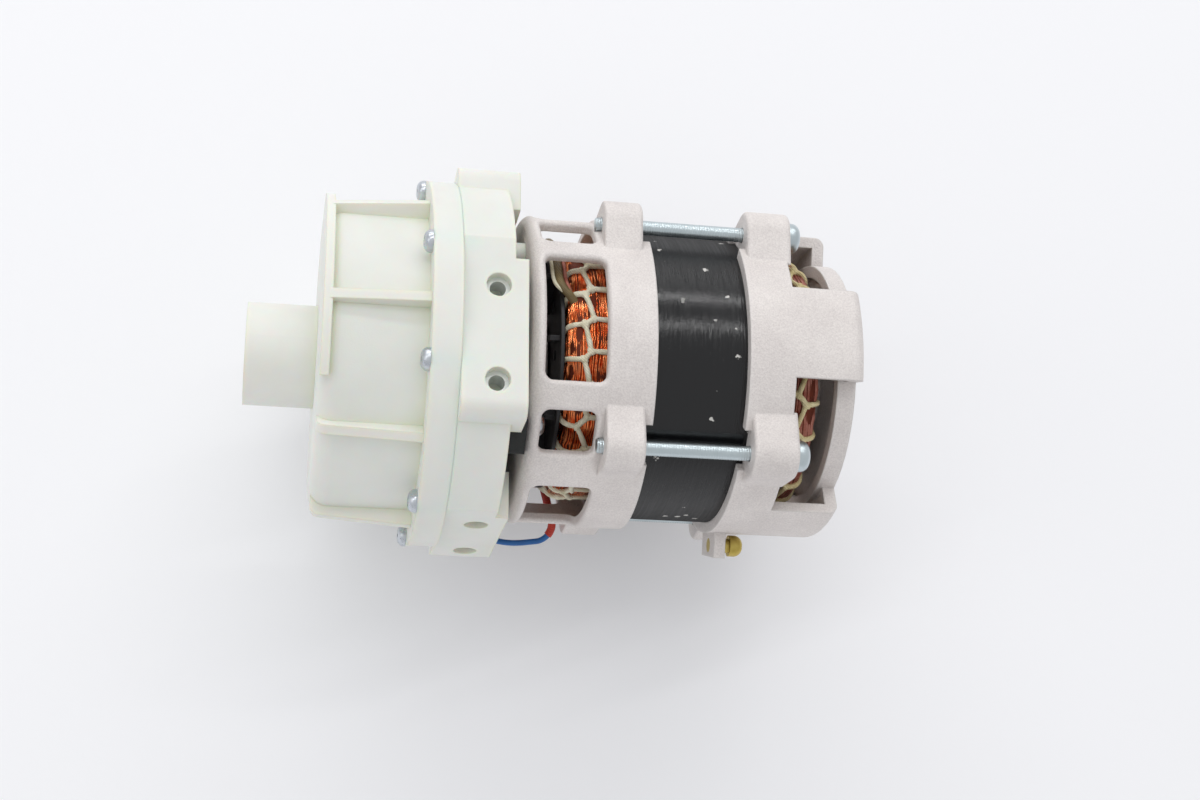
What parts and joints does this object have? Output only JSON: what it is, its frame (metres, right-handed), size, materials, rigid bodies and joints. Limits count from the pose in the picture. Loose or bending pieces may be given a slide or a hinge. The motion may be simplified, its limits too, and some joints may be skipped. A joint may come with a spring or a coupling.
{
  "type": "drain pump",
  "caption": "Drain pump: white plastic pump end with hose spigots and mounting pads, bolted to an open-frame induction motor.",
  "frame": {"origin": "middle of the inlet spigot's mouth, on the shaft's line", "axes": "+X along the shaft towards the motor, +Z square to the upper mounting pad"},
  "size_m": [0.1612, 0.1, 0.112],
  "materials": {
    "white_plastic": "satin",
    "black_plastic": "matte",
    "blue_plastic": "gloss",
    "red_plastic": "satin",
    "black_rubber": "matte",
    "white_ceramic": "satin",
    "white_paper": "matte",
    "carbon": "satin",
    "cream_cord": "matte",
    "copper_wire": "gloss",
    "cast_aluminium": "sand cast",
    "black_painted_steel": "satin",
    "rotor_steel": "turned",
    "bearing_steel": "polished",
    "zinc_steel": "bright zinc",
    "brass": "satin"
  },
  "bodies": {
    "housing": {"volute_cover": "white_plastic", "pump_body": "white_plastic", "cover_screws": "zinc_steel", "cover_gasket": "black_rubber", "pad_inserts": "zinc_steel", "body_screws": "zinc_steel", "seal_cup": "black_rubber", "seal_seat": "white_ceramic", "back_plate": "black_plastic", "front_shield": "cast_aluminium", "rear_shield": "cast_aluminium", "tie_bolts": "zinc_steel", "stator_core": "black_painted_steel", "slot_liners": "white_paper", "winding": "copper_wire", "front_lacing": "cream_cord", "rear_lacing": "cream_cord", "front_bearing_outer_ring": "bearing_steel", "front_bearing_seals": "bearing_steel", "rear_bearing_outer_ring": "bearing_steel", "rear_bearing_seals": "bearing_steel", "wave_washer": "bearing_steel", "buffer_block": "black_rubber", "lead_plug": "white_plastic", "blue_lead": "blue_plastic", "lead_sleeve": "red_plastic", "earth_screw": "brass", "earth_washer": "zinc_steel"},
    "rotor": {"shaft": "bearing_steel", "rotor_core": "rotor_steel", "front_end_ring": "cast_aluminium", "rear_end_ring": "cast_aluminium", "cooling_fan": "black_plastic", "impeller": "black_plastic", "impeller_nut": "brass", "seal_ring": "carbon", "seal_bellows": "black_rubber", "seal_spring": "zinc_steel", "slinger": "black_rubber", "front_bearing_inner_ring": "bearing_steel", "rear_bearing_inner_ring": "bearing_steel"},
    "front_cage": {"front_bearing_balls": "bearing_steel", "front_bearing_cage": "brass"},
    "rear_cage": {"rear_bearing_balls": "bearing_steel", "rear_bearing_cage": "brass"}
  },
  "joints": [
    {"name": "rotor_spin", "type": "hinge", "parent": "housing", "child": "rotor", "pos_m": [0.1, 0, 0], "axis": [1, 0, 0], "continuous": true},
    {"name": "front_cage_spin", "type": "hinge", "parent": "housing", "child": "front_cage", "pos_m": [0.0772, 0, 0], "axis": [1, 0, 0], "continuous": true},
    {"name": "rear_cage_spin", "type": "hinge", "parent": "housing", "child": "rear_cage", "pos_m": [0.1543, 0, 0], "axis": [1, 0, 0], "continuous": true}
  ],
  "couplings": [
    {"joint": "front_cage_spin", "follows": "rotor_spin", "ratio": 0.384},
    {"joint": "rear_cage_spin", "follows": "rotor_spin", "ratio": 0.384}
  ]
}
